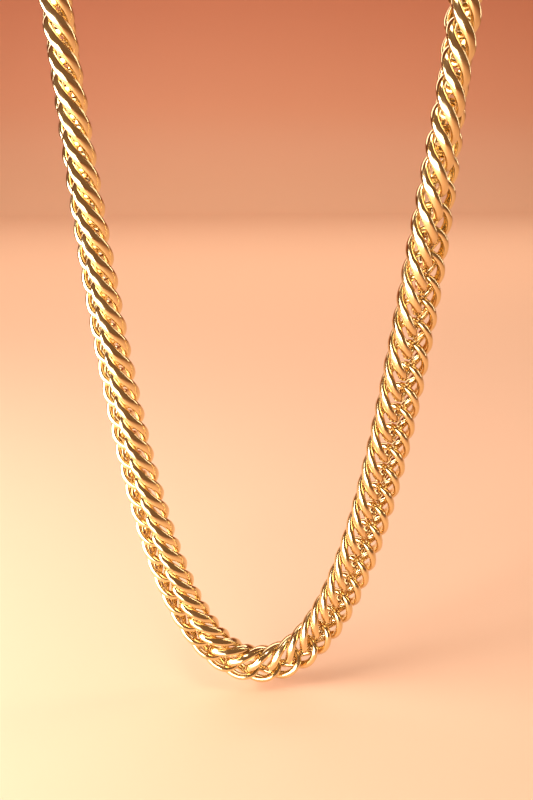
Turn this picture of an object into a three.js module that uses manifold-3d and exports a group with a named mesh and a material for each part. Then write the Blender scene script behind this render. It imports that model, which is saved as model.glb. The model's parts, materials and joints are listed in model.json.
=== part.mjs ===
// A gold double curb chain necklace, hung in its closed loop over a narrow display bar.
// Millimetres, +Z up. The loop lies in the XZ plane. The origin is on top of the bar, under the clasp.

import * as THREE from 'three';
import { mergeVertices } from 'three/addons/utils/BufferGeometryUtils.js';
import Module from 'manifold-3d';

const wasm = await Module();
wasm.setup();

// Link: a twisted oval of flattened wire. Each link passes through the next two.
const wireDiameter = 1.5;            // of the round wire, before it is flattened
const wireWidth = 1.75;              // along the chain's surface
const wireThickness = 1.35;          // square to the chain's surface
const pitchPerWire = 2.8;            // link to link distance, over the wire's diameter
const widthPerWire = 5.8;            // chain width, over the wire's diameter
const linkTwist = THREE.MathUtils.degToRad(-108);
const bowLean = 0.5;                 // how much the wire's flat faces turn outwards at the bows
const twistEase = 0.89;              // below 1 the twist is quicker at the middle of the link
const ovalPower = 2.1;               // 2 is an ellipse, more is a fuller oval
const endClearancePerWire = 0.31;    // play of a link's bow inside its neighbours
const linkCloseness = 0.95;          // spacing inside a segment, over the pitch

// Loop: a hanging curve between two corners, and a straight run with the clasp across the top.
const hangingHeight = 153;
const sagPerPitch = 2.31;            // the hanging curve's parameter, over the pitch
const curlPerPitch = 2.75;           // radius of the lowest bend, over the pitch
const bendClearancePerWire = 0.05;   // least play between links at the lowest bend
const cornerPerPitch = 3.35;         // radius over the bar's edges, over the pitch
const bottomRoll = THREE.MathUtils.degToRad(-80);
// The roll eases off in two shares: one that fades quickly from the bottom, and one between two
// heights given as shares of the hanging length.
const earlyTurn = { left: 0.75, right: 0 };
const earlyPower = 3;
const lateTurnFrom = { left: 0.5, right: 0.38 };
const lateTurnTo = { left: 1, right: 0.92 };
const fewestLinksPerSegment = 2;
const mostSegments = 50;

// Clasp: a cast lobster claw with a sprung trigger, between two jump rings.
const claspLength = 12;
const claspWidth = 8.4;
const claspThickness = 2.0;
const claspWall = 1.6;
const openingShift = 0.6;            // the ring space sits towards the claw's nose
const eyeRadius = 2.0;
const eyeWire = 1.0;
const ringWire = 0.9;
const ringPlay = 1.6;                // room left in a ring by the link and the claw's wall
const ringTilt = THREE.MathUtils.degToRad(32);
const ringClearance = 0.2;
const nosePlay = 0.9;                // room of the catch ring behind the claw's nose
const triggerThickness = 0.7;
const triggerClearance = 0.15;
const tabLength = 1.7;
const tabLean = THREE.MathUtils.degToRad(40);
const pinDiameter = 0.8;
const pinClearance = 0.12;
const pinRecess = 0.05;              // the pin's ends lie this far under the claw's faces
const bossWall = 0.45;               // metal round the trigger's bore
const springStrip = 0.25;
const springWidth = 0.56;
const springFrom = THREE.MathUtils.degToRad(100);
const springTo = THREE.MathUtils.degToRad(185);

// Where the clasp's features sit, as shares of the claw's own half sizes.
const eyeReach = 0.55;               // the eye's middle beyond the claw's end, over the eye's radius
const gateEndShare = 0.62;           // end of the gate at the nose, over the opening's half length
const gateStartShare = 0.2;          // start of the gate behind the middle, over the half length
const gateTopShare = 0.3;            // top of the gate under the middle, over the opening's half width
const pinAlongShare = 0.45;          // the pin behind the middle, over the half length
const pinSinkShare = 0.8;            // the pin below the middle, over the wall's own middle

// Fineness of the facets.
const linkSteps = 14;
const linkSides = 6;
const ringSteps = 20;
const ringSides = 8;
const curveSteps = 48;
const halvings = 60;
const bendStep = 0.02;               // over the pitch
const widestBend = 6;                // over the wanted radius

const linkPitch = pitchPerWire * wireDiameter;
const linkHalfLength = linkPitch + (0.5 + endClearancePerWire) * wireDiameter;
const linkHalfWidth = (widthPerWire - 1) * wireDiameter / 2;
const sagRadius = sagPerPitch * linkPitch;
const cornerRadius = cornerPerPitch * linkPitch;
const closeSpacing = linkCloseness * linkPitch;
const ringRadius = (ringWire + wireDiameter + claspWall + ringPlay) / 2;

const gold = { color: 0xd9a441, metalness: 1, roughness: 0.18 };
const steel = { color: 0xb9bcc0, metalness: 1, roughness: 0.3 };

// ---- small helpers -------------------------------------------------------------------------

function toSolid(geometry) {
  const bare = geometry.clone();
  bare.deleteAttribute('normal');
  bare.deleteAttribute('uv');
  const merged = mergeVertices(bare, 1e-5);
  const vertProperties = new Float32Array(merged.attributes.position.array);
  const triVerts = new Uint32Array(merged.index.array);
  return new wasm.Manifold(new wasm.Mesh({ numProp: 3, vertProperties, triVerts }));
}

function toGeometry(solid) {
  const mesh = solid.getMesh();
  const geometry = new THREE.BufferGeometry();
  geometry.setAttribute('position', new THREE.BufferAttribute(new Float32Array(mesh.vertProperties), 3));
  geometry.setIndex(new THREE.BufferAttribute(new Uint32Array(mesh.triVerts), 1));
  geometry.computeVertexNormals();
  return geometry;
}

function namedMesh(name, geometry, finish) {
  const mesh = new THREE.Mesh(geometry, new THREE.MeshStandardMaterial(finish));
  mesh.name = name;
  return mesh;
}

function signedPower(value, power) {
  return Math.sign(value) * Math.pow(Math.abs(value), power);
}

// ---- one link ------------------------------------------------------------------------------

// The wire's middle line: an oval along X whose width turns from -twist/2 to +twist/2.
class LinkCurve extends THREE.Curve {
  constructor(placement) {
    super();
    this.placement = placement;
  }

  getPoint(t, target = new THREE.Vector3()) {
    const turn = 2 * Math.PI * t;
    const along = signedPower(Math.cos(turn), 2 / ovalPower);
    const out = signedPower(Math.sin(turn), 2 / ovalPower) * linkHalfWidth;
    const angle = signedPower(along, twistEase) * linkTwist / 2;
    target.set(along * linkHalfLength, out * Math.cos(angle), out * Math.sin(angle));
    return target.applyMatrix4(this.placement);
  }
}

// The wire's surface: an oval section whose thin way points away from the chain's middle line.
function linkWire(curve) {
  const inverse = new THREE.Matrix4().copy(curve.placement).invert();
  const places = [];
  const faces = [];
  for (let i = 0; i < linkSteps; i += 1) {
    const middle = curve.getPointAt(i / linkSteps);
    const forward = curve.getTangentAt(i / linkSteps);
    const local = middle.clone().applyMatrix4(inverse);
    const thin = local.set(local.x * bowLean, local.y, local.z).transformDirection(curve.placement);
    thin.addScaledVector(forward, -thin.dot(forward)).normalize();
    const wide = new THREE.Vector3().crossVectors(forward, thin);
    for (let j = 0; j < linkSides; j += 1) {
      const turn = 2 * Math.PI * (j + 0.5) / linkSides;
      const place = middle.clone().addScaledVector(thin, Math.cos(turn) * wireThickness / 2);
      place.addScaledVector(wide, Math.sin(turn) * wireWidth / 2);
      places.push(place.x, place.y, place.z);
      const next = (i + 1) % linkSteps * linkSides;
      const here = i * linkSides;
      const after = (j + 1) % linkSides;
      faces.push(here + j, next + after, next + j);
      faces.push(here + j, here + after, next + after);
    }
  }
  const geometry = new THREE.BufferGeometry();
  geometry.setAttribute('position', new THREE.Float32BufferAttribute(places, 3));
  geometry.setIndex(faces);
  return geometry;
}

function halfThickness() {
  let most = 0;
  const curve = new LinkCurve(new THREE.Matrix4());
  for (let i = 0; i < curveSteps; i += 1) {
    most = Math.max(most, curve.getPoint(i / curveSteps).z);
  }
  return most + wireThickness / 2;
}

// The two nearest points of two links' middle lines.
function nearestPoints(first, second) {
  let best = Infinity;
  const pair = [new THREE.Vector3(), new THREE.Vector3()];
  for (let i = 0; i < curveSteps; i += 1) {
    const a = first.getPoint(i / curveSteps);
    for (let j = 0; j < curveSteps; j += 1) {
      const b = second.getPoint(j / curveSteps);
      const gap = a.distanceTo(b);
      if (gap < best) {
        best = gap;
        pair[0].copy(a);
        pair[1].copy(b);
      }
    }
  }
  return pair;
}

// A link's place: along the chain at an angle, with the chain rolled about its own line.
function linkPlacement(x, z, angle, roll) {
  const along = new THREE.Vector3(Math.cos(angle), 0, Math.sin(angle));
  const inward = new THREE.Vector3(-Math.sin(angle), 0, Math.cos(angle));
  const face = inward.multiplyScalar(Math.cos(roll)).add(new THREE.Vector3(0, -Math.sin(roll), 0));
  const across = new THREE.Vector3().crossVectors(face, along);
  return new THREE.Matrix4().makeBasis(along, across, face).setPosition(x, 0, z);
}

// Smallest gap between the wires of a link and the next two, on a bend of this radius.
function bendGap(radius) {
  const links = [];
  for (let i = 0; i < 3; i += 1) {
    const angle = i * linkPitch / radius;
    const x = radius * Math.sin(angle);
    const z = radius * (1 - Math.cos(angle));
    links.push(new LinkCurve(linkPlacement(x, z, angle, bottomRoll)));
  }
  const next = nearestPoints(links[0], links[1]);
  const second = nearestPoints(links[0], links[2]);
  return Math.min(next[0].distanceTo(next[1]), second[0].distanceTo(second[1])) - wireDiameter;
}

// The lowest bend's radius: as wanted, or wider until the links clear each other.
function lowestBend() {
  const wanted = curlPerPitch * linkPitch;
  const clearance = bendClearancePerWire * wireDiameter;
  let radius = wanted;
  while (bendGap(radius) < clearance && radius < widestBend * wanted) radius += bendStep * linkPitch;
  return radius;
}

// ---- the loop's middle line ------------------------------------------------------------------

const topHeight = halfThickness();
const curlRadius = lowestBend();

// Length from the lowest point over which the chain is at its tightest bend, so that its slope
// reaches the hanging curve's.
function lockedLength() {
  let low = 0;
  let high = curlRadius * Math.PI / 2;
  for (let i = 0; i < halvings; i += 1) {
    const middle = (low + high) / 2;
    if (middle / curlRadius < Math.atan2(middle, sagRadius)) low = middle;
    else high = middle;
  }
  return low;
}

const locked = lockedLength();

// Slope and place at a distance up the hanging part, measured from the lowest point.
function hangingPoint(s) {
  if (s < locked) {
    const angle = s / curlRadius;
    return { angle, x: curlRadius * Math.sin(angle), rise: curlRadius * (1 - Math.cos(angle)) };
  }
  const end = locked / curlRadius;
  const x = sagRadius * (Math.asinh(s / sagRadius) - Math.asinh(locked / sagRadius));
  const rise = Math.hypot(sagRadius, s) - Math.hypot(sagRadius, locked);
  return {
    angle: Math.atan2(s, sagRadius),
    x: x + curlRadius * Math.sin(end),
    rise: rise + curlRadius * (1 - Math.cos(end)),
  };
}

// Everything about one half of the loop that follows from the length of its hanging part.
function layOut(hangingLength) {
  const corner = hangingPoint(hangingLength);
  const cornerStart = corner.angle;
  const straightStart = hangingLength + (Math.PI - cornerStart) * cornerRadius;
  const centreX = corner.x - cornerRadius * Math.sin(cornerStart);
  const centreRise = corner.rise + cornerRadius * Math.cos(cornerStart);
  const bottomZ = topHeight - cornerRadius - centreRise;
  return { hangingLength, cornerStart, straightStart, centreX, centreRise, bottomZ };
}

// Where the half's chain would end on the top run, if it is chainLength long.
function endX(layout, chainLength) {
  return layout.centreX - (chainLength - layout.straightStart);
}

// The clasp's pieces in a row along X, each hooked into the next with a small play.
function claspRow() {
  const bowToRing = (wireThickness + ringWire) / 2 + ringClearance;
  const ringToEye = (ringWire + eyeWire) / 2 + ringClearance;
  const leftRing = bowToRing * -1 + ringRadius;
  const eye = leftRing + ringRadius - ringToEye + eyeRadius;
  const claw = eye + eyeRadius * eyeReach + claspLength / 2;
  const noseWall = claw + claspLength / 2 - claspWall;
  const rightRing = noseWall - nosePlay - ringWire / 2 + ringRadius;
  const rightBow = rightRing + ringRadius - bowToRing;
  return { leftRing, eye, claw, rightRing, rightBow };
}

const row = claspRow();

// The number of whole segments nearest to the wanted height, then the hanging part that fits them.
function fitLoop() {
  const wanted = layOut(Math.sqrt((hangingHeight + sagRadius) ** 2 - sagRadius ** 2));
  const roughLinks = 2 * (wanted.straightStart + wanted.centreX) / linkPitch;
  const linksPerSegment = Math.max(fewestLinksPerSegment, Math.ceil(roughLinks / mostSegments));
  const segmentPitch = linksPerSegment * linkPitch;
  const lastLinkInset = (segmentPitch - (linksPerSegment - 1) * closeSpacing) / 2;
  const chainEndX = row.rightBow / 2 + linkHalfLength - lastLinkInset;
  const wantedLength = wanted.straightStart + wanted.centreX - chainEndX;
  const segments = Math.round(wantedLength / segmentPitch);
  const chainLength = segments * segmentPitch;
  let low = wanted.hangingLength - segmentPitch;
  let high = wanted.hangingLength + segmentPitch;
  for (let i = 0; i < halvings; i += 1) {
    const middle = (low + high) / 2;
    if (endX(layOut(middle), chainLength) < chainEndX) low = middle;
    else high = middle;
  }
  return { ...layOut(low), segments, segmentPitch, linksPerSegment };
}

const loop = fitLoop();

// Place and direction at a distance along the chain from the lowest point, right half positive.
function alongLoop(distance) {
  const side = Math.sign(distance) || 1;
  const s = Math.abs(distance);
  let angle;
  let x;
  let z;
  if (s < loop.hangingLength) {
    const point = hangingPoint(s);
    angle = point.angle;
    x = point.x;
    z = loop.bottomZ + point.rise;
  } else if (s < loop.straightStart) {
    angle = loop.cornerStart + (s - loop.hangingLength) / cornerRadius;
    x = loop.centreX + cornerRadius * Math.sin(angle);
    z = loop.bottomZ + loop.centreRise - cornerRadius * Math.cos(angle);
  } else {
    angle = Math.PI;
    x = endX(loop, s);
    z = topHeight;
  }
  return { x: side * x, z, angle: side * angle };
}

// The band lies flat over the bar and turns its face to the front at the bottom.
function rollAt(distance) {
  const reach = Math.min(Math.abs(distance) / loop.hangingLength, 1);
  const side = distance < 0 ? 'left' : 'right';
  const early = earlyTurn[side] * Math.pow(1 - reach, earlyPower);
  const late = 1 - THREE.MathUtils.smoothstep(reach, lateTurnFrom[side], lateTurnTo[side]);
  return bottomRoll * (early + (1 - earlyTurn[side]) * late);
}

function placementAt(distance) {
  const { x, z, angle } = alongLoop(distance);
  return linkPlacement(x, z, angle, rollAt(distance));
}

// ---- segments of the chain -------------------------------------------------------------------

// A solder bead where two links of a segment lie closest, so that the segment is one solid.
function solderBead(first, second) {
  const [a, b] = nearestPoints(first, second);
  const span = a.distanceTo(b);
  const bead = new THREE.CylinderGeometry(wireDiameter / 4, wireDiameter / 4, span, linkSides);
  const up = new THREE.Vector3(0, 1, 0);
  const direction = new THREE.Vector3().subVectors(b, a).normalize();
  bead.applyQuaternion(new THREE.Quaternion().setFromUnitVectors(up, direction));
  return bead.translate((a.x + b.x) / 2, (a.y + b.y) / 2, (a.z + b.z) / 2);
}

function segmentGeometry(side, index) {
  const middle = (index + 0.5) * loop.segmentPitch;
  const curves = [];
  for (let i = 0; i < loop.linksPerSegment; i += 1) {
    const offset = (i - (loop.linksPerSegment - 1) / 2) * closeSpacing;
    curves.push(new LinkCurve(placementAt(side * (middle + offset))));
  }
  let solid = toSolid(linkWire(curves[0]));
  for (let i = 1; i < curves.length; i += 1) {
    solid = solid.add(toSolid(linkWire(curves[i])));
    solid = solid.add(toSolid(solderBead(curves[i - 1], curves[i])));
  }
  return toGeometry(solid);
}

// Segments are counted from the clasp down, so the last one of each half is at the bottom.
function addStrand(group, sideName, side) {
  for (let index = 0; index < loop.segments; index += 1) {
    const number = String(loop.segments - index).padStart(2, '0');
    group.add(namedMesh(`${sideName}_links_${number}`, segmentGeometry(side, index), gold));
  }
}

// ---- clasp -----------------------------------------------------------------------------------

function ellipse(halfX, halfY, shiftX) {
  const outline = new THREE.Shape();
  outline.absellipse(shiftX, 0, halfX, halfY, 0, 2 * Math.PI);
  return outline;
}

function plate(outline, thickness) {
  const geometry = new THREE.ExtrudeGeometry(outline, {
    depth: thickness, bevelEnabled: false, curveSegments: 12,
  });
  return geometry.translate(0, 0, -thickness / 2);
}

function block(x0, x1, y0, y1, thickness) {
  const geometry = new THREE.BoxGeometry(x1 - x0, y1 - y0, thickness);
  return geometry.translate((x0 + x1) / 2, (y0 + y1) / 2, 0);
}

function post(radius, height, x, y) {
  const geometry = new THREE.CylinderGeometry(radius, radius, height, 16);
  return geometry.rotateX(Math.PI / 2).translate(x, y, 0);
}

const claw = {
  halfX: claspLength / 2,
  halfY: claspWidth / 2,
  innerX: claspLength / 2 - claspWall - openingShift,
  innerY: claspWidth / 2 - claspWall,
};
claw.gateEnd = claw.innerX * gateEndShare + openingShift;
claw.gateStart = -claw.halfX * gateStartShare;
claw.gateTop = -claw.innerY * gateTopShare;
claw.pinX = -claw.halfX * pinAlongShare;
claw.pinY = -(claw.halfY + claw.innerY) / 2 * pinSinkShare;
claw.boreRadius = pinDiameter / 2 + pinClearance;
claw.bossRadius = claw.boreRadius + bossWall;
claw.below = -claw.halfY * 1.5;      // cuts start well outside the claw
claw.through = claspThickness * 2;   // and go right through it

function clawBody() {
  const outer = toSolid(plate(ellipse(claw.halfX, claw.halfY, 0), claspThickness));
  const opening = toSolid(plate(ellipse(claw.innerX, claw.innerY, openingShift), claw.through));
  const gate = toSolid(block(claw.gateStart, claw.gateEnd, claw.below, claw.gateTop, claw.through));
  const slotWidth = triggerThickness + 2 * triggerClearance;
  const slotStart = claw.pinX - claw.bossRadius - triggerClearance - tabLength;
  const slotEnd = claw.gateStart + triggerClearance;
  const slot = toSolid(block(slotStart, slotEnd, claw.below, claw.gateTop, slotWidth));
  const bore = toSolid(post(claw.boreRadius, claw.through, claw.pinX, claw.pinY));
  const eye = new THREE.TorusGeometry(eyeRadius, eyeWire / 2, ringSides, ringSteps);
  eye.translate(-claw.halfX - eyeRadius * eyeReach, 0, 0);
  return outer.subtract(opening).add(toSolid(eye)).subtract(gate).subtract(slot).subtract(bore);
}

// The trigger closes the gate, turns on its pin, and has a thumb tab outside the claw.
function triggerSolid() {
  const gap = triggerClearance;
  const outer = toSolid(plate(ellipse(claw.halfX - gap, claw.halfY - gap, 0), triggerThickness));
  const inside = ellipse(claw.innerX + gap, claw.innerY + gap, openingShift);
  const opening = toSolid(plate(inside, claw.through));
  const span = toSolid(block(claw.pinX, claw.gateEnd - gap, claw.below, claw.gateTop - gap,
    claw.through));
  const boss = toSolid(post(claw.bossRadius, triggerThickness, claw.pinX, claw.pinY));
  const tab = block(-tabLength - claw.bossRadius, 0, -claw.bossRadius, bossWall / 4, triggerThickness);
  tab.rotateZ(tabLean).translate(claw.pinX, claw.pinY, 0);
  const bore = toSolid(post(claw.boreRadius, claw.through, claw.pinX, claw.pinY));
  return outer.subtract(opening).intersect(span).add(boss).add(toSolid(tab)).subtract(bore);
}

// A bent leaf in the slot behind the trigger's boss.
function springGeometry() {
  const inner = claw.bossRadius + triggerClearance;
  const strip = new THREE.Shape();
  strip.absarc(0, 0, inner + springStrip, springFrom, springTo, false);
  strip.absarc(0, 0, inner, springTo, springFrom, true);
  return plate(strip, springWidth).translate(claw.pinX, claw.pinY, 0);
}

// The rings lean to opposite sides, each square to the bow of the link that it holds.
function jumpRing(lean) {
  const ring = new THREE.TorusGeometry(ringRadius, ringWire / 2, ringSides, ringSteps);
  return ring.rotateX(Math.PI / 2 + lean * ringTilt);
}

function addClasp(group) {
  const clasp = new THREE.Group();
  clasp.position.set(-row.rightBow / 2, 0, topHeight);
  const pin = post(pinDiameter / 2, claspThickness - 2 * pinRecess, claw.pinX, claw.pinY);
  const pieces = [
    namedMesh('clasp_body', toGeometry(clawBody()), gold),
    namedMesh('clasp_trigger', toGeometry(triggerSolid()), gold),
    namedMesh('clasp_pin', pin, gold),
    namedMesh('clasp_spring', springGeometry(), steel),
  ];
  for (const piece of pieces) {
    piece.position.x = row.claw;
    clasp.add(piece);
  }
  const leftRing = namedMesh('clasp_jump_ring', jumpRing(-1), gold);
  leftRing.position.x = row.leftRing;
  const rightRing = namedMesh('catch_ring', jumpRing(1), gold);
  rightRing.position.x = row.rightRing;
  clasp.add(leftRing, rightRing);
  group.add(clasp);
}

const necklace = new THREE.Group();
addStrand(necklace, 'left', -1);
addStrand(necklace, 'right', 1);
addClasp(necklace);

export default necklace;
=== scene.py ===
"""A polished gold double curb chain necklace, hung in a closed loop, with a sprung lobster clasp.

The links are made by one Geometry Nodes tree and placed along the hanging loop, two to a segment.
Everything is in metres, +Z up, with the loop in the XZ plane.
"""

import json
import math

import bmesh
import bpy
from bpy.props import FloatProperty, FloatVectorProperty, IntProperty, PointerProperty
from mathutils import Matrix, Quaternion, Vector


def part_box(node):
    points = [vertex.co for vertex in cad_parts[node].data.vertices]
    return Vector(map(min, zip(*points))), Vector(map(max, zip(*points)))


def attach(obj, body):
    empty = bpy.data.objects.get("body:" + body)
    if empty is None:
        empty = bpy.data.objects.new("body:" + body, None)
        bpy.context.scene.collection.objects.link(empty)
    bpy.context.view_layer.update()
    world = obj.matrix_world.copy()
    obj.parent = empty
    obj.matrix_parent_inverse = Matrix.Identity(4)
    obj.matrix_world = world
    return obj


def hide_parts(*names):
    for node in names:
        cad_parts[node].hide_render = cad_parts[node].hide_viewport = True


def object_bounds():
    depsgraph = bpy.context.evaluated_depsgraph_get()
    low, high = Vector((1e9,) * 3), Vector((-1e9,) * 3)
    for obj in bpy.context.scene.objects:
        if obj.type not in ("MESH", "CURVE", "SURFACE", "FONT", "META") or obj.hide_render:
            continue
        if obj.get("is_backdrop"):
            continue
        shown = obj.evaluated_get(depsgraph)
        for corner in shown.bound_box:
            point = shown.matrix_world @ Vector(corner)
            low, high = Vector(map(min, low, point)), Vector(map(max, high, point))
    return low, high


bl_info = {
    "name": "Double Curb Necklace",
    "version": (1, 0, 0),
    "blender": (4, 5, 0),
    "location": "3D View > Sidebar > Necklace",
    "description": "Builds a gold double curb chain necklace, its lobster clasp and a small studio",
    "category": "Add Mesh",
}

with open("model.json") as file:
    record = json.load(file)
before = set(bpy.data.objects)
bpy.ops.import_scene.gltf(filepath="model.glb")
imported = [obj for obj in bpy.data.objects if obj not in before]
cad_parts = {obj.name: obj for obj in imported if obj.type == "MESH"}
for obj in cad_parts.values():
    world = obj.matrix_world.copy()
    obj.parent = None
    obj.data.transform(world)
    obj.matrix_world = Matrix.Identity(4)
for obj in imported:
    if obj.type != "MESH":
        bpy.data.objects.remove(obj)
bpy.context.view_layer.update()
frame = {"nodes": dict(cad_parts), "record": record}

MM = 0.001
PITCH = 4.2 * MM
SIDES = {"left": -1, "right": 1}
LINKS_PER_SEGMENT = 2
HALVINGS = 60


# ---- sizes and colours --------------------------------------------------------------------------


class ChainSizes(bpy.types.PropertyGroup):
    """One link, and how the chain hangs."""

    wire_width: FloatProperty(
        name="Wire width", description="Width of the flattened wire, seen from outside the chain",
        default=1.75 * MM, min=0.2 * MM, unit="LENGTH",
    )
    wire_thickness: FloatProperty(
        name="Wire thickness", description="Thickness of the flattened wire",
        default=1.35 * MM, min=0.2 * MM, unit="LENGTH",
    )
    wire_squareness: FloatProperty(
        name="Wire squareness", description="2 is an oval wire, more has flatter faces",
        default=2.5, min=2, max=6,
    )
    link_pitch: FloatProperty(
        name="Link pitch", description="Distance from one link to the next along the chain",
        default=PITCH, min=1 * MM, unit="LENGTH",
    )
    link_half_length: FloatProperty(
        name="Link half length", description="From a link's middle to the wire's middle at its bow",
        default=5.415 * MM, min=1 * MM, unit="LENGTH",
    )
    link_half_width: FloatProperty(
        name="Link half width", description="From a link's middle to the wire's middle at its side",
        default=3.6 * MM, min=1 * MM, unit="LENGTH",
    )
    link_twist: FloatProperty(
        name="Link twist", description="Turn of the oval from one bow to the other",
        default=math.radians(-108), subtype="ANGLE",
    )
    twist_ease: FloatProperty(
        name="Twist ease", description="Below 1 the twist is quicker at the middle of the link",
        default=0.89, min=0.5, max=2,
    )
    oval_power: FloatProperty(
        name="Oval power", description="2 is an ellipse, more is a fuller oval",
        default=2.1, min=2, max=4,
    )
    wire_steps: IntProperty(
        name="Steps along the wire", description="Facets along one link's wire", default=72, min=12,
    )
    wire_sides: IntProperty(
        name="Sides of the wire", description="Facets round the wire", default=18, min=6,
    )
    sag_radius: FloatProperty(
        name="Sag radius", description="The hanging curve's parameter",
        default=2.31 * PITCH, unit="LENGTH",
    )
    curl_radius: FloatProperty(
        name="Curl radius", description="Radius of the lowest bend, where the links lock",
        default=2.75 * PITCH, unit="LENGTH",
    )
    corner_radius: FloatProperty(
        name="Corner radius", description="Bend of the chain over the ends of the display bar",
        default=3.35 * PITCH, unit="LENGTH",
    )
    bottom_roll: FloatProperty(
        name="Bottom roll", description="Turn of the chain's face towards the front at the bottom",
        default=math.radians(-80), subtype="ANGLE",
    )
    left_early: FloatProperty(
        name="Left early turn", description="Share of the left half's turn made near the bottom",
        default=0.75, min=0, max=1,
    )
    early_power: FloatProperty(
        name="Early turn power", description="How close to the bottom that share is", default=3,
    )
    left_late: FloatVectorProperty(
        name="Left late turn", description="Heights between which the left half's turn ends",
        size=2, default=(0.5, 1.0),
    )
    right_late: FloatVectorProperty(
        name="Right late turn", description="Heights between which the right half turns edge on",
        size=2, default=(0.38, 0.92),
    )


class ClaspSizes(bpy.types.PropertyGroup):
    """The lobster clasp and its rings."""

    length: FloatProperty(
        name="Claw length", description="Length of the claw without its eye",
        default=12 * MM, unit="LENGTH",
    )
    width: FloatProperty(
        name="Claw width", description="Width of the claw", default=8.4 * MM, unit="LENGTH",
    )
    thickness: FloatProperty(
        name="Claw thickness", description="Front to back of the claw's body",
        default=2.0 * MM, unit="LENGTH",
    )
    wall: FloatProperty(
        name="Claw wall", description="Width of the claw's arm", default=1.6 * MM, unit="LENGTH",
    )
    opening_shift: FloatProperty(
        name="Opening shift", description="How far the opening sits towards the nose",
        default=0.6 * MM, unit="LENGTH",
    )
    eye_radius: FloatProperty(
        name="Eye radius", description="Radius of the eye's middle line",
        default=2.0 * MM, unit="LENGTH",
    )
    eye_wire: FloatProperty(
        name="Eye thickness", description="Thickness of the eye", default=1.0 * MM, unit="LENGTH",
    )
    ring_wire: FloatProperty(
        name="Ring wire", description="Wire thickness of the jump rings",
        default=0.9 * MM, unit="LENGTH",
    )
    ring_tilt: FloatProperty(
        name="Ring tilt", description="Lean of the rings away from upright",
        default=math.radians(32), subtype="ANGLE",
    )
    ring_clearance: FloatProperty(
        name="Ring clearance", description="Play of a ring in its neighbours",
        default=0.2 * MM, unit="LENGTH",
    )
    trigger_thickness: FloatProperty(
        name="Trigger thickness", description="Front to back of the trigger",
        default=0.7 * MM, unit="LENGTH",
    )
    trigger_clearance: FloatProperty(
        name="Trigger clearance", description="Play between the trigger and the claw",
        default=0.15 * MM, unit="LENGTH",
    )
    tab_length: FloatProperty(
        name="Thumb tab", description="Length of the trigger's thumb tab",
        default=1.7 * MM, unit="LENGTH",
    )
    pin_diameter: FloatProperty(
        name="Pin diameter", description="Diameter of the trigger's pin",
        default=0.8 * MM, unit="LENGTH",
    )
    boss_wall: FloatProperty(
        name="Boss wall", description="Metal round the trigger's bore",
        default=0.45 * MM, unit="LENGTH",
    )


class Finish(bpy.types.PropertyGroup):
    """Colours of the metals and of the studio, with the backdrop's painted shade."""

    gold: FloatVectorProperty(
        name="Gold", description="Colour of the polished gold", subtype="COLOR",
        default=(0.84, 0.64, 0.34), min=0, max=1,
    )
    steel: FloatVectorProperty(
        name="Steel", description="Colour of the clasp's spring", subtype="COLOR",
        default=(0.60, 0.60, 0.62), min=0, max=1,
    )
    floor: FloatVectorProperty(
        name="Floor", description="Colour of the floor", subtype="COLOR",
        default=(0.92, 0.56, 0.36), min=0, max=1,
    )
    # Painted shade: the dark colour the backdrop is painted towards with height, in place of light
    # falling off up the backdrop.
    backdrop: FloatVectorProperty(
        name="Backdrop", description="Colour the backdrop deepens to with height", subtype="COLOR",
        default=(0.56, 0.11, 0.035), min=0, max=1,
    )


# ---- shared helpers -----------------------------------------------------------------------------


def new_object(name, data):
    """A new object in the scene, at the origin."""
    piece = bpy.data.objects.new(name, data)
    bpy.context.scene.collection.objects.link(piece)
    return piece


def plain_mesh(piece, name):
    """The evaluated shape of a piece as a plain mesh object. The maker's object goes away."""
    bpy.context.view_layer.update()
    evaluated = piece.evaluated_get(bpy.context.evaluated_depsgraph_get())
    mesh = bpy.data.meshes.new_from_object(evaluated)
    maker_data = piece.data
    bpy.data.objects.remove(piece)
    if isinstance(maker_data, bpy.types.Mesh):
        bpy.data.meshes.remove(maker_data)
    mesh.name = name
    return new_object(name, mesh)


def skin(rings, closed, name):
    """A closed surface through rings of points. Open ends are capped."""
    count = len(rings[0])
    shape = bmesh.new()
    rows = [[shape.verts.new(point) for point in ring] for ring in rings]
    pairs = list(zip(rows, rows[1:]))
    if closed:
        pairs.append((rows[-1], rows[0]))
    for first, second in pairs:
        for i in range(count):
            j = (i + 1) % count
            shape.faces.new((first[i], first[j], second[j], second[i]))
    if not closed:
        shape.faces.new(reversed(rows[0]))
        shape.faces.new(rows[-1])
    return finish_mesh(shape, name)


def finish_mesh(shape, name):
    """Turns a working mesh into a smooth shaded one with its faces outward."""
    bmesh.ops.recalc_face_normals(shape, faces=shape.faces)
    for face in shape.faces:
        face.smooth = True
    mesh = bpy.data.meshes.new(name)
    shape.to_mesh(mesh)
    shape.free()
    return mesh


def round_ends(share, reach):
    """Width of a rounded end, from 0 at its tip to 1 at its reach along the piece."""
    if share >= reach:
        return 1.0
    return math.sqrt(max(0.0, 1 - (1 - share / reach) ** 2))


def signed_power(value, power):
    """The size of a value to a power, with the value's own sign."""
    return math.copysign(abs(value) ** power, value)


def join_piece(piece, body, nodes, material):
    """Sets a finished piece's metal and the body that it moves with, and hides the solids it stands
    for.
    """
    piece.data.materials.clear()
    piece.data.materials.append(material)
    for polygon in piece.data.polygons:
        polygon.material_index = 0
    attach(piece, body)
    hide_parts(*nodes)


# ---- the loop -----------------------------------------------------------------------------------


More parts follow.
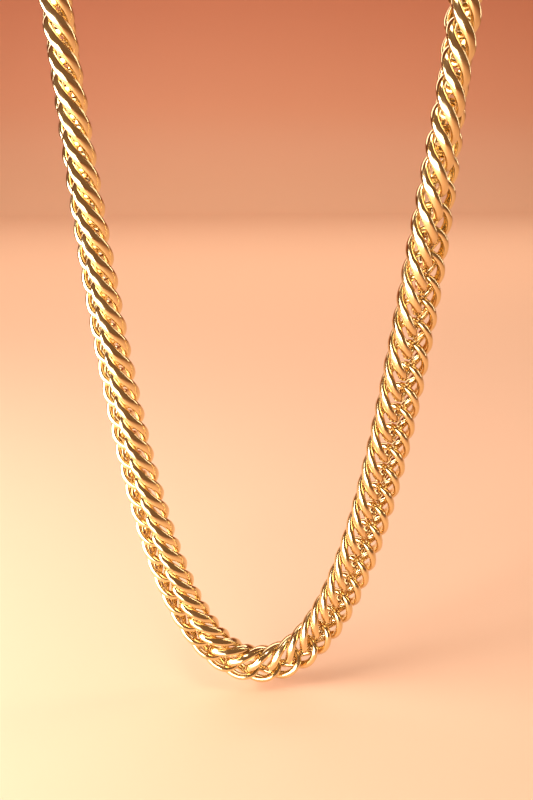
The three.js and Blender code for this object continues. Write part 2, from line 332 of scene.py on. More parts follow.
class HangingLoop:
    """The chain's middle line: lowest bend, hanging curve, corner over the bar and top run."""

    def __init__(self, chain, segments, end_x, top_height):
        self.chain = chain
        self.top_height = top_height
        self.locked = self.locked_length()
        length = segments * LINKS_PER_SEGMENT * chain.link_pitch
        low = 0.5 * length
        high = length
        for _ in range(HALVINGS):
            self.hanging_length = (low + high) / 2
            self.lay_out()
            if self.centre_x - (length - self.straight_start) < end_x:
                low = self.hanging_length
            else:
                high = self.hanging_length

    def locked_length(self):
        """Length from the lowest point over which the links are locked in their tightest bend."""
        low = 0.0
        high = self.chain.curl_radius * math.pi / 2
        for _ in range(HALVINGS):
            middle = (low + high) / 2
            if middle / self.chain.curl_radius < math.atan2(middle, self.chain.sag_radius):
                low = middle
            else:
                high = middle
        return low

    def hanging_point(self, s):
        """Slope, distance from the middle and rise at a length up the hanging part."""
        curl = self.chain.curl_radius
        sag = self.chain.sag_radius
        if s < self.locked:
            angle = s / curl
            return angle, curl * math.sin(angle), curl * (1 - math.cos(angle))
        end = self.locked / curl
        x = sag * (math.asinh(s / sag) - math.asinh(self.locked / sag)) + curl * math.sin(end)
        rise = math.hypot(sag, s) - math.hypot(sag, self.locked) + curl * (1 - math.cos(end))
        return math.atan2(s, sag), x, rise

    def lay_out(self):
        """Places the corner and the top run after the hanging part."""
        corner = self.chain.corner_radius
        self.corner_start, x, rise = self.hanging_point(self.hanging_length)
        self.straight_start = self.hanging_length + (math.pi - self.corner_start) * corner
        self.centre_x = x - corner * math.sin(self.corner_start)
        self.centre_rise = rise + corner * math.cos(self.corner_start)
        self.bottom_z = self.top_height - corner - self.centre_rise

    def along(self, distance):
        """Place and slope at a distance from the lowest point, right half positive."""
        side = -1 if distance < 0 else 1
        s = abs(distance)
        corner = self.chain.corner_radius
        if s < self.hanging_length:
            angle, x, rise = self.hanging_point(s)
            z = self.bottom_z + rise
        elif s < self.straight_start:
            angle = self.corner_start + (s - self.hanging_length) / corner
            x = self.centre_x + corner * math.sin(angle)
            z = self.bottom_z + self.centre_rise - corner * math.cos(angle)
        else:
            angle = math.pi
            x = self.centre_x - (s - self.straight_start)
            z = self.top_height
        return side * x, z, side * angle

    def roll(self, distance):
        """The band lies flat over the bar and turns its face to the front at the bottom."""
        reach = min(abs(distance) / self.hanging_length, 1)
        chain = self.chain
        early, (start, end) = (chain.left_early, chain.left_late)
        if distance > 0:
            early, (start, end) = (0, chain.right_late)
        fade = min(max((reach - start) / (end - start), 0), 1)
        late = 1 - fade * fade * (3 - 2 * fade)
        return chain.bottom_roll * (early * (1 - reach) ** chain.early_power + (1 - early) * late)

    def placement(self, distance):
        """Place and turn of the link at a distance along the chain."""
        x, z, angle = self.along(distance)
        roll = self.roll(distance)
        along = Vector((math.cos(angle), 0, math.sin(angle)))
        inward = Vector((-math.sin(angle), 0, math.cos(angle)))
        face = inward * math.cos(roll) + Vector((0, -math.sin(roll), 0))
        across = face.cross(along)
        turn = Matrix((along, across, face)).transposed().to_quaternion()
        return Vector((x, 0, z)), turn


def half_thickness(chain):
    """Half the chain's thickness, square to its face."""
    most = 0.0
    steps = 48
    for i in range(steps):
        turn = 2 * math.pi * i / steps
        along = signed_power(math.cos(turn), 2 / chain.oval_power)
        out = signed_power(math.sin(turn), 2 / chain.oval_power) * chain.link_half_width
        turned = signed_power(along, chain.twist_ease) * chain.link_twist / 2
        most = max(most, out * math.sin(turned))
    return most + chain.wire_thickness / 2


def segment_count():
    """Segments of two links on each side of the loop."""
    return sum(1 for node in frame["nodes"] if node.startswith("left_links_"))


def box_middle(node):
    """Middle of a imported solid's box."""
    low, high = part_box(node)
    return (Vector(low) + Vector(high)) / 2


def make_loop(chain, clasp):
    """The loop that ends where the catch ring holds the last link's bow."""
    low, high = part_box("catch_ring")
    ring_radius = (high[0] - low[0] - clasp.ring_wire) / 2
    play = (chain.wire_thickness + clasp.ring_wire) / 2 + clasp.ring_clearance
    bow_x = box_middle("catch_ring").x + ring_radius - play
    end_x = bow_x + chain.link_half_length - chain.link_pitch / 2
    return HangingLoop(chain, segment_count(), end_x, half_thickness(chain))


# ---- links by Geometry Nodes --------------------------------------------------------------------

# The wire's thin side faces away from the link's middle, and less so along the chain.
OUTWARD_SHARES = (0.5, 1.0, 1.0)


class Tree:
    """A small helper that adds nodes to a tree and joins them in one call."""

    def __init__(self, tree):
        self.tree = tree

    def node(self, kind, settings=None, **inputs):
        """Adds a node. Inputs are given by name, or as in0, in1 for numbered sockets."""
        made = self.tree.nodes.new(kind)
        for key, value in (settings or {}).items():
            setattr(made, key, value)
        for key, value in inputs.items():
            numbered = key[:2] == "in" and key[2:].isdigit()
            socket = made.inputs[int(key[2:])] if numbered else made.inputs[key.replace("_", " ")]
            self.feed(socket, value)
        return made

    def feed(self, socket, value):
        """Joins an output to a socket, or sets the socket's own value."""
        if isinstance(value, bpy.types.Node):
            value = next(out for out in value.outputs if out.enabled)
        if isinstance(value, bpy.types.NodeSocket):
            self.tree.links.new(value, socket)
        else:
            socket.default_value = value

    def math(self, operation, first, second=0.0):
        return self.node("ShaderNodeMath", {"operation": operation}, in0=first, in1=second)

    def signed_power(self, value, power):
        size = self.math("POWER", self.math("ABSOLUTE", value), power)
        return self.math("MULTIPLY", self.math("SIGN", value), size)


def add_socket(tree, name, kind, default=None):
    """Adds an input to a node group."""
    socket = tree.interface.new_socket(name=name, in_out="INPUT", socket_type=kind)
    if default is not None:
        socket.default_value = default
    return socket


def wire_path(tree, given):
    """The wire's middle line: an oval along X that turns from -twist/2 to +twist/2."""
    circle = tree.node("GeometryNodeCurvePrimitiveCircle", in0=given["Steps"], Radius=1.0)
    place = tree.node("ShaderNodeSeparateXYZ", in0=tree.node("GeometryNodeInputPosition"))
    power = tree.math("DIVIDE", 2.0, given["Oval Power"])
    along = tree.signed_power(place.outputs["X"], power)
    out = tree.math("MULTIPLY", tree.signed_power(place.outputs["Y"], power), given["Half Width"])
    half_twist = tree.math("MULTIPLY", given["Twist"], 0.5)
    angle = tree.math("MULTIPLY", tree.signed_power(along, given["Twist Ease"]), half_twist)
    point = tree.node(
        "ShaderNodeCombineXYZ",
        in0=tree.math("MULTIPLY", along, given["Half Length"]),
        in1=tree.math("MULTIPLY", out, tree.math("COSINE", angle)),
        in2=tree.math("MULTIPLY", out, tree.math("SINE", angle)),
    )
    oval = tree.node("GeometryNodeSetPosition", Geometry=circle.outputs["Curve"], Position=point)
    even = tree.node("GeometryNodeResampleCurve", Curve=oval, Count=given["Steps"])
    outward = tree.node(
        "ShaderNodeVectorMath", {"operation": "MULTIPLY"},
        in0=tree.node("GeometryNodeInputPosition"), in1=OUTWARD_SHARES,
    )
    return tree.node(
        "GeometryNodeSetCurveNormal", {"mode": "FREE"}, Curve=even,
        Normal=tree.node("ShaderNodeVectorMath", {"operation": "NORMALIZE"}, in0=outward),
    )


def wire_section(tree, given):
    """The flattened wire's section, thin outwards and wide along the chain's surface."""
    circle = tree.node("GeometryNodeCurvePrimitiveCircle", in0=given["Sides"], Radius=1.0)
    place = tree.node("ShaderNodeSeparateXYZ", in0=tree.node("GeometryNodeInputPosition"))
    power = tree.math("DIVIDE", 2.0, given["Wire Squareness"])
    thick = tree.math("MULTIPLY", given["Wire Thickness"], 0.5)
    wide = tree.math("MULTIPLY", given["Wire Width"], 0.5)
    point = tree.node(
        "ShaderNodeCombineXYZ",
        in0=tree.math("MULTIPLY", tree.signed_power(place.outputs["X"], power), thick),
        in1=tree.math("MULTIPLY", tree.signed_power(place.outputs["Y"], power), wide),
    )
    return tree.node("GeometryNodeSetPosition", Geometry=circle.outputs["Curve"], Position=point)


def links_tree(material):
    """Puts a twisted oval link of flattened wire on every point, turned as the point says."""
    group = bpy.data.node_groups.new("Curb Links", "GeometryNodeTree")
    add_socket(group, "Geometry", "NodeSocketGeometry")
    for name in ("Wire Width", "Wire Thickness", "Wire Squareness", "Half Length", "Half Width",
                 "Twist", "Twist Ease", "Oval Power"):
        add_socket(group, name, "NodeSocketFloat")
    for name in ("Steps", "Sides"):
        add_socket(group, name, "NodeSocketInt")
    group.interface.new_socket(name="Geometry", in_out="OUTPUT", socket_type="NodeSocketGeometry")
    tree = Tree(group)
    given = group.nodes.new("NodeGroupInput").outputs
    link = tree.node(
        "GeometryNodeCurveToMesh",
        Curve=wire_path(tree, given), Profile_Curve=wire_section(tree, given),
    )
    turn = tree.node("GeometryNodeInputNamedAttribute", {"data_type": "QUATERNION"}, Name="turn")
    placed = tree.node(
        "GeometryNodeInstanceOnPoints",
        Points=given["Geometry"], Instance=link, Rotation=turn,
    )
    solid = tree.node("GeometryNodeRealizeInstances", Geometry=placed)
    smooth = tree.node("GeometryNodeSetShadeSmooth", Geometry=solid)
    finished = tree.node("GeometryNodeSetMaterial", Geometry=smooth, Material=material)
    tree.node("NodeGroupOutput", Geometry=finished)
    return group


def links_piece(name, places, chain, group):
    """One mesh of links at these places and turns."""
    mesh = bpy.data.meshes.new(name)
    mesh.from_pydata([place for place, _ in places], [], [])
    mesh.attributes.new("turn", "QUATERNION", "POINT")
    for i, (_, turn) in enumerate(places):
        mesh.attributes["turn"].data[i].value = turn
    maker = new_object(name + "_maker", mesh)
    modifier = maker.modifiers.new("Links", "NODES")
    modifier.node_group = group
    values = {
        "Wire Width": chain.wire_width, "Wire Thickness": chain.wire_thickness,
        "Wire Squareness": chain.wire_squareness, "Half Length": chain.link_half_length,
        "Half Width": chain.link_half_width, "Twist": chain.link_twist,
        "Twist Ease": chain.twist_ease, "Oval Power": chain.oval_power,
        "Steps": chain.wire_steps, "Sides": chain.wire_sides,
    }
    for item in group.interface.items_tree:
        if item.in_out == "INPUT" and item.name in values:
            modifier[item.identifier] = values[item.name]
    return plain_mesh(maker, name)


# ---- metals -------------------------------------------------------------------------------------

SMUDGE_SIZE = 3 * MM
MARK_SIZE = 0.4 * MM
MARK_DEPTH = 0.01 * MM
# Noise values between which a smudge goes from absent to full.
SMUDGE_FROM = 0.42
SMUDGE_TO = 0.7
# Roughness of the clean metal, roughness where it is smudged, and strength of the wear marks.
GOLD_POLISH = (0.12, 0.24, 0.25)
STEEL_POLISH = (0.25, 0.4, 0.4)


def handling_marks():
    """Faint smudges and fine wear marks: a mask for roughness and a height for the surface."""
    group = bpy.data.node_groups.new("Handling Marks", "ShaderNodeTree")
    for name, default in (("Smudge Size", SMUDGE_SIZE), ("Mark Size", MARK_SIZE)):
        add_socket(group, name, "NodeSocketFloat", default)
    for name in ("Smudges", "Height"):
        group.interface.new_socket(name=name, in_out="OUTPUT", socket_type="NodeSocketFloat")
    tree = Tree(group)
    given = group.nodes.new("NodeGroupInput").outputs
    where = tree.node("ShaderNodeTexCoord").outputs["Object"]
    smudge = tree.node(
        "ShaderNodeTexNoise", Vector=where, Detail=3.0, Roughness=0.6,
        Scale=tree.math("DIVIDE", 1.0, given["Smudge Size"]),
    )
    mark = tree.node(
        "ShaderNodeTexNoise", Vector=where, Detail=2.0, Roughness=0.5,
        Scale=tree.math("DIVIDE", 1.0, given["Mark Size"]),
    )
    spread = tree.node(
        "ShaderNodeMapRange", in0=smudge.outputs[0], in1=SMUDGE_FROM, in2=SMUDGE_TO,
    )
    tree.node("NodeGroupOutput", Smudges=spread.outputs[0], Height=mark.outputs[0])
    return group


def metal(name, colour, polish, marks):
    """A polished metal whose roughness and surface vary a little with handling."""
    roughness, smudged, strength = polish
    material = bpy.data.materials.new(name)
    material.use_nodes = True
    tree = Tree(material.node_tree)
    shader = material.node_tree.nodes["Principled BSDF"]
    shader.inputs["Metallic"].default_value = 1.0
    wear = tree.node("ShaderNodeGroup", {"node_tree": marks})
    rough = tree.node(
        "ShaderNodeMapRange", in0=wear.outputs["Smudges"], in3=roughness, in4=smudged,
    )
    tree.feed(shader.inputs["Roughness"], rough.outputs[0])
    bump = tree.node("ShaderNodeBump", Height=wear.outputs["Height"], Strength=strength)
    bump.inputs["Distance"].default_value = MARK_DEPTH
    tree.feed(shader.inputs["Normal"], bump)
    shader.inputs["Base Color"].default_value = (*colour, 1)
    return material


def metals(finish):
    """The necklace's metals, made once."""
    if "Polished Gold" not in bpy.data.materials:
        marks = handling_marks()
        metal("Polished Gold", finish.gold, GOLD_POLISH, marks)
        metal("Spring Steel", finish.steel, STEEL_POLISH, marks)
    return bpy.data.materials["Polished Gold"], bpy.data.materials["Spring Steel"]


# ---- clasp --------------------------------------------------------------------------------------

# The gate's end at the nose, its start at the trigger and the top of the trigger's seat, as shares
# of the claw's or the opening's half size.
GATE_END = 0.62
GATE_START = 0.2
GATE_TOP = 0.3
ARM_SQUARENESS = 2.8
ARM_SIDES = 28
# The arm narrows to this share at its two ends, over these shares of its length.
ARM_TIP = 0.25
ARM_NOSE_REACH = 0.03
ARM_SEAT_REACH = 0.02
RING_CUT_AT = math.radians(60)
RING_CUT = 0.04 * MM
RING_TIP = 0.6
RING_TIP_REACH = 0.008
PIN_ROOM = 0.12 * MM
CLAW_BORE_PLAY = 0.03 * MM
TRIGGER_BORE_PLAY = 0.05 * MM
PIN_DOME = 0.12 * MM
BORE_DOME = 0.1 * MM
BOSS_DOME = 0.08 * MM
EDGE_ROUND = 0.12 * MM
SPRING_STRIP = 0.25 * MM
SPRING_EDGE = 0.05 * MM
WELD_DISTANCE = 0.0005 * MM
CRISP_ANGLE = 40
# Half outline of the thumb tab: share of its length, share of its half width.
TAB_PROFILE = ((0.1, 1.0), (0.75, 0.9), (0.92, 0.72), (1.0, 0.35))
# Domed head: share of the radius, share of the dome's height.
DOME_PROFILE = ((0.35, 1.0), (0.7, 0.86), (0.92, 0.5), (1.0, 0.0))


class ClaspPlan:
    """Where the clasp's features sit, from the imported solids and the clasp's sizes."""

    def __init__(self, clasp):
        low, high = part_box("clasp_body")
        pin = box_middle("clasp_pin")
        self.half_x = clasp.length / 2
        self.half_y = clasp.width / 2
        self.centre = Vector((high[0] - self.half_x, 0, pin.z))
        self.inner_x = self.half_x - clasp.wall - clasp.opening_shift
        self.inner_y = self.half_y - clasp.wall
        self.shift = clasp.opening_shift
        self.pin = pin
        self.eye = Vector((low[0] + clasp.eye_radius + clasp.eye_wire / 2, 0, pin.z))
        self.gate_end = self.inner_x * GATE_END + self.shift
        self.gate_start = -self.half_x * GATE_START
        self.gate_top = -self.inner_y * GATE_TOP
        self.boss = clasp.pin_diameter / 2 + PIN_ROOM + clasp.boss_wall

    def outer(self, angle, less=0.0):
        """A point on the claw's outer outline, or that much inside it."""
        x = (self.half_x - less) * math.cos(angle)
        return self.centre + Vector((x, (self.half_y - less) * math.sin(angle), 0))

    def inner(self, angle, more=0.0):
        """A point on the opening's outline, or that much outside it."""
        x = self.shift + (self.inner_x + more) * math.cos(angle)
        return self.centre + Vector((x, (self.inner_y + more) * math.sin(angle), 0))


def oval_ring(middle, half_width, up, power, sides):
    """Points of a rounded section: half_width across, up in height."""
    ring = []
    for i in range(sides):
        turn = 2 * math.pi * i / sides
        across = signed_power(math.cos(turn), 2 / power)
        rise = signed_power(math.sin(turn), 2 / power)
        ring.append(middle + half_width * across + up * rise)
    return ring


def claw_arm(plan, clasp):
    """The claw's arm, from its nose round the opening to the trigger's seat."""
    start = -math.acos(plan.gate_end / plan.half_x) + math.radians(2)
    end = 2 * math.pi - math.acos(plan.gate_start / plan.half_x)
    steps = 96
    rings = []
    for i in range(steps + 1):
        share = i / steps
        angle = start + (end - start) * share
        outer = plan.outer(angle)
        inner = plan.inner(angle)
        tapered = round_ends(share, ARM_NOSE_REACH) * round_ends(1 - share, ARM_SEAT_REACH)
        size = max(ARM_TIP, tapered)
        up = Vector((0, 0, clasp.thickness / 2 * size))
        middle = (outer + inner) / 2
        half_width = (outer - inner) / 2 * size
        rings.append(oval_ring(middle, half_width, up, ARM_SQUARENESS, ARM_SIDES))
    return skin(rings, False, "claw_arm")


def ring_mesh(middle, axis_turn, radius, wire, gap, name, steps=96, sides=20):
    """A round wire ring. A gap above nothing leaves the fine cut of a jump ring."""
    rings = []
    span = 2 * math.pi * radius
    open_angle = gap / span * 2 * math.pi
    count = steps if gap == 0 else steps + 1
    for i in range(count):
        share = i / steps
        angle = RING_CUT_AT + open_angle / 2 + (2 * math.pi - open_angle) * share
        out = Vector((math.cos(angle), math.sin(angle), 0))
        size = 1.0
        if gap:
            tapered = round_ends(share, RING_TIP_REACH) * round_ends(1 - share, RING_TIP_REACH)
            size = max(RING_TIP, tapered)
        up = Vector((0, 0, wire / 2 * size))
        flat = oval_ring(out * radius, out * wire / 2 * size, up, 2, sides)
        rings.append([middle + axis_turn @ point for point in flat])
    return skin(rings, gap == 0, name)


def cylinder_mesh(middle, radius, half_height, dome, name, sides=40):
    """A pin along Z with domed heads."""
    rings = []
    levels = [(r, half_height - dome + dome * h) for r, h in DOME_PROFILE]
    levels += [(r, -z) for r, z in reversed(levels)]
    for r, z in levels:
        ring = []
        for i in range(sides):
            angle = 2 * math.pi * i / sides
            x = r * radius * math.cos(angle)
            y = r * radius * math.sin(angle)
            ring.append(middle + Vector((x, y, z)))
        rings.append(ring)
    return skin(rings, False, name)


def plate_mesh(points, thickness, round_edge, z, name):
    """A flat plate of this outline, with its edges rounded."""
    curve = bpy.data.curves.new(name, "CURVE")
    curve.dimensions = "2D"
    curve.fill_mode = "BOTH"
    curve.extrude = thickness / 2 - round_edge
    curve.bevel_depth = round_edge
    curve.bevel_resolution = 3
    curve.offset = -round_edge
    spline = curve.splines.new("POLY")
    spline.points.add(len(points) - 1)
    for place, (x, y) in zip(spline.points, points):
        place.co = (x, y, 0, 1)
    spline.use_cyclic_u = True
    maker = new_object(name, curve)
    bpy.context.view_layer.update()
    evaluated = maker.evaluated_get(bpy.context.evaluated_depsgraph_get())
    mesh = bpy.data.meshes.new_from_object(evaluated)
    bpy.data.objects.remove(maker)
    shape = bmesh.new()
    shape.from_mesh(mesh)
    bmesh.ops.remove_doubles(shape, verts=shape.verts, dist=WELD_DISTANCE)
    bmesh.ops.translate(shape, verts=shape.verts, vec=(0, 0, z))
    return finish_mesh(shape, name)


def carve(mesh, cuts, name):
    """Cuts or joins closed shapes in turn, and gives one plain piece."""
    maker = new_object(name + "_maker", mesh)
    helpers = []
    for i, (cutter, operation) in enumerate(cuts):
        helper = new_object(f"{name}_helper_{i}", cutter)
        helpers.append(helper)
        modifier = maker.modifiers.new(f"Cut {i}", "BOOLEAN")
        modifier.operation = operation
        modifier.solver = "EXACT"
        modifier.object = helper
    piece = plain_mesh(maker, name)
    for helper in helpers:
        data = helper.data
        bpy.data.objects.remove(helper)
        bpy.data.meshes.remove(data)
    return piece


def block_mesh(low, high, name):
    """A box between two corners."""
    shape = bmesh.new()
    bmesh.ops.create_cube(shape, size=1)
    low = Vector(low)
    high = Vector(high)
    for vert in shape.verts:
        vert.co = Vector((
            low.x + (vert.co.x + 0.5) * (high.x - low.x),
            low.y + (vert.co.y + 0.5) * (high.y - low.y),
            low.z + (vert.co.z + 0.5) * (high.z - low.z),
        ))
    return finish_mesh(shape, name)


def crease(piece, degrees):
    """Keeps edges sharper than this crisp and the rest smooth."""
    piece.data.set_sharp_from_angle(angle=math.radians(degrees))


def claw_body(plan, clasp):
    """Claw and eye in one piece, with the trigger's slot and the pin's bore."""
    z = plan.centre.z
    reach = plan.boss + clasp.trigger_clearance
    half_slot = clasp.trigger_thickness / 2 + clasp.trigger_clearance
    below = plan.centre.y - plan.half_y * 1.5
    slot = block_mesh(
        (plan.pin.x - reach - clasp.tab_length, below, z - half_slot),
        (
            plan.centre.x + plan.gate_start + clasp.wall,
            plan.centre.y + plan.gate_top,
            z + half_slot,
        ),
        "slot",
    )
    bore_radius = clasp.pin_diameter / 2 + CLAW_BORE_PLAY
    bore = cylinder_mesh(plan.pin, bore_radius, clasp.thickness, BORE_DOME, "bore")
    eye = ring_mesh(plan.eye, Quaternion(), clasp.eye_radius, clasp.eye_wire, 0, "eye")
    cuts = ((eye, "UNION"), (slot, "DIFFERENCE"), (bore, "DIFFERENCE"))
    piece = carve(claw_arm(plan, clasp), cuts, "claw_body")
    crease(piece, CRISP_ANGLE)
    return piece


def trigger_outline(plan, clasp):
    """The lever from its tip under the nose, along the gate, to the boss."""
    gap = clasp.trigger_clearance
    tip = math.acos((plan.gate_end - gap) / (plan.half_x - gap))
    outer_end = math.acos((plan.pin.x - plan.centre.x) / (plan.half_x - gap))
    inner_tip = math.acos(min(1, (plan.gate_end - gap - plan.shift) / (plan.inner_x + gap)))
    inner_end = math.acos((plan.pin.x - plan.centre.x - plan.shift) / (plan.inner_x + gap))
    steps = 24
    points = []
    for i in range(steps + 1):
        point = plan.outer(-(tip + (outer_end - tip) * i / steps), gap)
        points.append((point.x, point.y))
    for i in range(steps, -1, -1):
        point = plan.inner(-(inner_tip + (inner_end - inner_tip) * i / steps), gap)
        points.append((point.x, point.y))
    return points


def trigger_piece(plan, clasp):
    """Lever, boss and thumb tab in one piece."""
    z = plan.centre.z
    thickness = clasp.trigger_thickness
    lever = plate_mesh(trigger_outline(plan, clasp), thickness, EDGE_ROUND, z, "lever")
    boss = cylinder_mesh(plan.pin, plan.boss, thickness / 2, BOSS_DOME, "boss")
    lean = math.radians(40)
    out = Vector((-math.cos(lean), -math.sin(lean), 0))
    side = Vector((out.y, -out.x, 0))
    width = plan.boss * 0.5
    middle = Vector((plan.pin.x, plan.pin.y, 0)) - side * width
    outline = []
    length = plan.boss + clasp.tab_length
    for share, half in TAB_PROFILE:
        outline.append(middle + out * length * share + side * width * half)
    for share, half in reversed(TAB_PROFILE):
        outline.append(middle + out * length * share - side * width * half)
    tab = plate_mesh([(p.x, p.y) for p in outline], thickness, EDGE_ROUND, z, "tab")
    bore_radius = clasp.pin_diameter / 2 + TRIGGER_BORE_PLAY
    bore = cylinder_mesh(plan.pin, bore_radius, clasp.thickness, BORE_DOME, "bore")
    cuts = ((boss, "UNION"), (tab, "UNION"), (bore, "DIFFERENCE"))
    piece = carve(lever, cuts, "trigger")
    crease(piece, CRISP_ANGLE)
    return piece


def spring_piece(plan, clasp):
    """A bent leaf in the slot behind the trigger's boss."""
    low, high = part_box("clasp_spring")
    inner = plan.boss + clasp.trigger_clearance
    start, end = math.radians(100), math.radians(185)
    steps = 20
    points = []
    for radius, order in ((inner + SPRING_STRIP, range(steps + 1)), (inner, range(steps, -1, -1))):
        for i in order:
            angle = start + (end - start) * i / steps
            x = plan.pin.x + radius * math.cos(angle)
            y = plan.pin.y + radius * math.sin(angle)
            points.append((x, y))
    mesh = plate_mesh(points, high[2] - low[2], SPRING_EDGE, plan.centre.z, "spring")
    return new_object("leaf_spring", mesh)


# ---- operators ----------------------------------------------------------------------------------


def settings(context):
    """The chain's sizes, the clasp's sizes and the finish."""
    scene = context.scene
    return scene.necklace_chain, scene.necklace_clasp, scene.necklace_finish


def body_of_node(node):
    """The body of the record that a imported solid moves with."""
    for body, nodes in frame["record"]["behaviour"]["bodies"].items():
        if node in nodes:
            return body
    raise RuntimeError(f"no body holds {node}")


class NECKLACE_OT_links(bpy.types.Operator):
    """Make the chain's links along the hanging loop, one mesh for each moving body"""

    bl_idname = "necklace.links"
    bl_label = "Chain links"

    def execute(self, context):
        chain, clasp, finish = settings(context)
        gold, _ = metals(finish)
        loop = make_loop(chain, clasp)
        group = links_tree(gold)
        segments = segment_count()
        groups = {}
        for side, sign in SIDES.items():
            for index in range(segments):
                node = f"{side}_links_{segments - index:02d}"
                body = body_of_node(node)
                name = node.replace("_links_", "_chain_")
                if body == "held_top":
                    name = f"{side}_top_run"
                nodes, places = groups.setdefault((name, body), ([], []))
                nodes.append(node)
                for i in range(LINKS_PER_SEGMENT):
                    number = index * LINKS_PER_SEGMENT + i
                    places.append(loop.placement(sign * (number + 0.5) * chain.link_pitch))
        for (name, body), (nodes, places) in groups.items():
            piece = links_piece(name, places, chain, group)
            join_piece(piece, body, nodes, gold)
        return {"FINISHED"}


class NECKLACE_OT_claw(bpy.types.Operator):
    """Make the claw with its eye, and the trigger's pin and leaf spring"""

    bl_idname = "necklace.claw"
    bl_label = "Claw, pin and spring"

    def execute(self, context):
        _, clasp, finish = settings(context)
        gold, steel = metals(finish)
        plan = ClaspPlan(clasp)
        join_piece(claw_body(plan, clasp), "held_top", ["clasp_body"], gold)
        low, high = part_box("clasp_pin")
        pin_mesh = cylinder_mesh(
            plan.pin, clasp.pin_diameter / 2, (high[2] - low[2]) / 2, PIN_DOME, "trigger_pin",
        )
        join_piece(new_object("trigger_pin", pin_mesh), "held_top", ["clasp_pin"], gold)
        spring = spring_piece(plan, clasp)
        join_piece(spring, "held_top", ["clasp_spring"], steel)
        return {"FINISHED"}


class NECKLACE_OT_trigger(bpy.types.Operator):
    """Make the trigger that closes the claw's gate"""

    bl_idname = "necklace.trigger"
    bl_label = "Trigger"

    def execute(self, context):
        _, clasp, finish = settings(context)
        gold, _ = metals(finish)
        piece = trigger_piece(ClaspPlan(clasp), clasp)
        join_piece(piece, "trigger", ["clasp_trigger"], gold)
        return {"FINISHED"}


class NECKLACE_OT_rings(bpy.types.Operator):
    """Make the jump ring and the catch ring, leaning to opposite sides"""

    bl_idname = "necklace.rings"
    bl_label = "Rings"

    def execute(self, context):
        _, clasp, finish = settings(context)
        gold, _ = metals(finish)
        for node, lean in (("clasp_jump_ring", -1), ("catch_ring", 1)):
            low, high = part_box(node)
            radius = (high[0] - low[0] - clasp.ring_wire) / 2
            turn = Quaternion((1, 0, 0), math.pi / 2 + lean * clasp.ring_tilt)
            name = node + "_wire"
            mesh = ring_mesh(box_middle(node), turn, radius, clasp.ring_wire, RING_CUT, name)
            join_piece(new_object(name, mesh), "held_top", [node], gold)
        return {"FINISHED"}


# ---- studio -------------------------------------------------------------------------------------

FLOOR_ROUGHNESS = 0.55
FLOOR_SHINE = 0.3
FLOOR_GAP = 1.5 * MM
# Painted shade: the floor's colour darkens towards the backdrop colour over this height in metres,
# quickly at first, in place of light falling off up the backdrop.
PAINTED_SHADE_RISE = 0.5
PAINTED_SHADE_FADE = 0.55
LIGHTS_AIM = 70 * MM
WARM = (1.0, 0.96, 0.88)
COOL = (0.88, 0.96, 1.0)
ROOM_COLOUR = (0.90, 0.50, 0.28)
ROOM_STRENGTH = 0.26


def studio_material(colour, painted_shade_colour, floor_z):
    """The pale floor's surface, with painted shade that darkens its colour up the backdrop."""
    material = bpy.data.materials.new("Pale Floor With Painted Shade")
    material.use_nodes = True
    shader = material.node_tree.nodes["Principled BSDF"]
    tree = Tree(material.node_tree)
    where = tree.node("ShaderNodeTexCoord").outputs["Object"]
    place = tree.node("ShaderNodeSeparateXYZ", in0=where)
    rise = tree.node(
        "ShaderNodeMapRange", in0=place.outputs["Z"], in1=floor_z, in2=floor_z + PAINTED_SHADE_RISE,
    )
    # Painted shade: the colour goes from the floor colour to a dark orange with height, standing in
    # for less light reaching the top of the backdrop.
    fade = tree.math("POWER", rise.outputs[0], PAINTED_SHADE_FADE)
    painted_shade_blend = tree.node(
        "ShaderNodeMix", {"data_type": "RGBA"}, in0=fade, in6=(*colour, 1), in7=(*painted_shade_colour, 1),
    )
    tree.feed(shader.inputs["Base Color"], painted_shade_blend.outputs[2])
    shader.inputs["Roughness"].default_value = FLOOR_ROUGHNESS
    shader.inputs["Specular IOR Level"].default_value = FLOOR_SHINE
    return material


def sweep_floor(z, material):
    """A wide floor that curves up into a backdrop far behind the necklace."""
    half = 3.0
    front, bend_start, bend, top = -3.0, 0.80, 0.12, 2.4
    profile = [(front, z)]
    steps = 24
    for i in range(steps + 1):
        angle = math.pi / 2 * i / steps
        profile.append((bend_start + bend * math.sin(angle), z + bend * (1 - math.cos(angle))))
    profile.append((bend_start + bend, z + top))
    verts = []
    faces = []
    for y, height in profile:
        verts += [(-half, y, height), (half, y, height)]
    for i in range(len(profile) - 1):
        a = 2 * i
        faces.append((a, a + 1, a + 3, a + 2))
    mesh = bpy.data.meshes.new("floor")
    mesh.from_pydata(verts, [], faces)
    for polygon in mesh.polygons:
        polygon.use_smooth = True
    mesh.materials.append(material)
    return new_object("floor", mesh)


def add_area_light(name, place, target, size, power, colour):
    """A soft rectangular light that faces its target."""
    data = bpy.data.lights.new(name, "AREA")
    data.shape = "RECTANGLE"
    data.size, data.size_y = size
    data.energy = power
    data.color = colour
    lamp = new_object(name, data)
    lamp.location = place
    lamp.rotation_euler = (Vector(target) - Vector(place)).to_track_quat("-Z", "Y").to_euler()


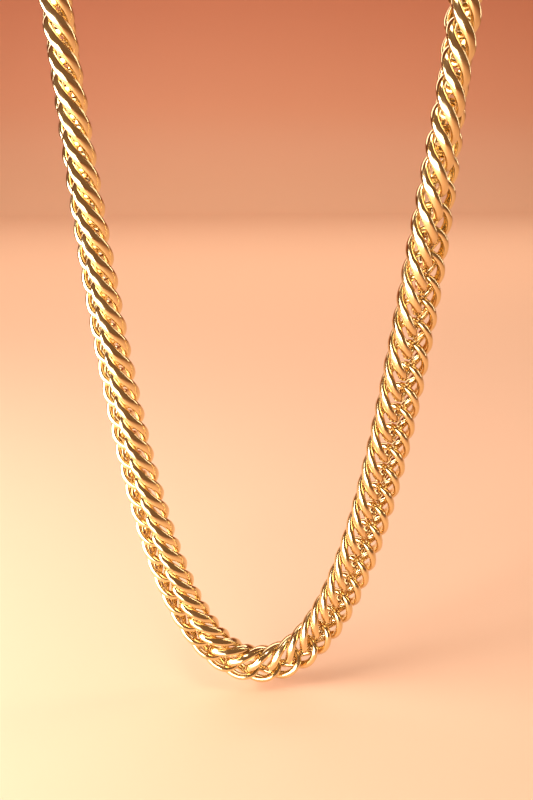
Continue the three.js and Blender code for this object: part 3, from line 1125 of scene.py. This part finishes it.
def add_camera(loop):
    """A close camera in front, a little to the left and looking down on the lowest part."""
    distance = 149.85 * MM
    down = math.radians(19.94)
    aside = math.radians(5.02)
    tilt = math.radians(0.17)
    aim_x = 0.54 * MM
    aim_rise = 59.15 * MM
    aim = Vector((aim_x, 0, loop.bottom_z + aim_rise))
    ahead = Vector((
        math.sin(aside) * math.cos(down), math.cos(aside) * math.cos(down), -math.sin(down),
    ))
    right = ahead.cross(Vector((0, 0, 1))).normalized()
    up = right.cross(ahead)
    turned_right = math.cos(tilt) * right + math.sin(tilt) * up
    turned_up = math.cos(tilt) * up - math.sin(tilt) * right
    data = bpy.data.cameras.new("camera")
    data.sensor_width = 36
    data.lens = 36.15
    data.clip_start = 0.005
    data.clip_end = 20
    camera = new_object("camera", data)
    place = Matrix((turned_right, turned_up, -ahead)).transposed().to_4x4()
    place.translation = aim - ahead * distance
    camera.matrix_world = place
    bpy.context.scene.camera = camera


def set_room_light(colour, strength):
    """An even light from all round."""
    world = bpy.data.worlds.new("Studio")
    bpy.context.scene.world = world
    world.use_nodes = True
    background = world.node_tree.nodes["Background"]
    background.inputs["Color"].default_value = (*colour, 1)
    background.inputs["Strength"].default_value = strength


class NECKLACE_OT_stage(bpy.types.Operator):
    """Make the floor, the soft lights and the camera"""

    bl_idname = "necklace.stage"
    bl_label = "Studio"

    def execute(self, context):
        chain, clasp, finish = settings(context)
        loop = make_loop(chain, clasp)
        low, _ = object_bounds()
        floor_z = low[2] - FLOOR_GAP
        floor = sweep_floor(floor_z, studio_material(finish.floor, finish.backdrop, floor_z))
        floor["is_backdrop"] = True
        bottom = loop.bottom_z
        target = (0, 0, bottom + LIGHTS_AIM)
        # Name, place, target, width and height in metres, power in watts, colour.
        lights = (
            ("window", (-0.23, -0.25, bottom + 0.02), target, (0.36, 0.30), 3.0, WARM),
            ("side", (-0.30, -0.04, bottom + 0.10), target, (0.16, 0.24), 2.0, COOL),
            ("high", (-0.10, -0.06, 0.26), target, (0.12, 0.06), 0.4, WARM),
            ("floor glow", (0, 0.52, 0.26), (0, 0.46, bottom), (1.4, 0.25), 3.4, WARM),
            ("right", (0.30, 0.05, 0.02), target, (0.04, 0.25), 0.2, WARM),
        )
        for light in lights:
            add_area_light(*light)
        set_room_light(ROOM_COLOUR, ROOM_STRENGTH)
        context.scene.view_settings.view_transform = "Standard"
        add_camera(loop)
        return {"FINISHED"}


class NECKLACE_PT_panel(bpy.types.Panel):
    """Lists the steps that make the necklace"""

    bl_idname = "NECKLACE_PT_panel"
    bl_label = "Double Curb Necklace"
    bl_space_type = "VIEW_3D"
    bl_region_type = "UI"
    bl_category = "Necklace"

    def draw(self, context):
        for operator in OPERATORS:
            self.layout.operator(operator.bl_idname)


OPERATORS = (
    NECKLACE_OT_links,
    NECKLACE_OT_claw,
    NECKLACE_OT_trigger,
    NECKLACE_OT_rings,
    NECKLACE_OT_stage,
)
GROUPS = {"necklace_chain": ChainSizes, "necklace_clasp": ClaspSizes, "necklace_finish": Finish}
CLASSES = (*GROUPS.values(), *OPERATORS, NECKLACE_PT_panel)


def register():
    for cls in CLASSES:
        bpy.utils.register_class(cls)
    for name, group in GROUPS.items():
        setattr(bpy.types.Scene, name, PointerProperty(type=group))


def unregister():
    for name in GROUPS:
        delattr(bpy.types.Scene, name)
    for cls in reversed(CLASSES):
        bpy.utils.unregister_class(cls)


def main():
    register()
    bpy.ops.necklace.links()
    bpy.ops.necklace.claw()
    bpy.ops.necklace.trigger()
    bpy.ops.necklace.rings()
    bpy.ops.necklace.stage()


if __name__ == "__main__":
    main()
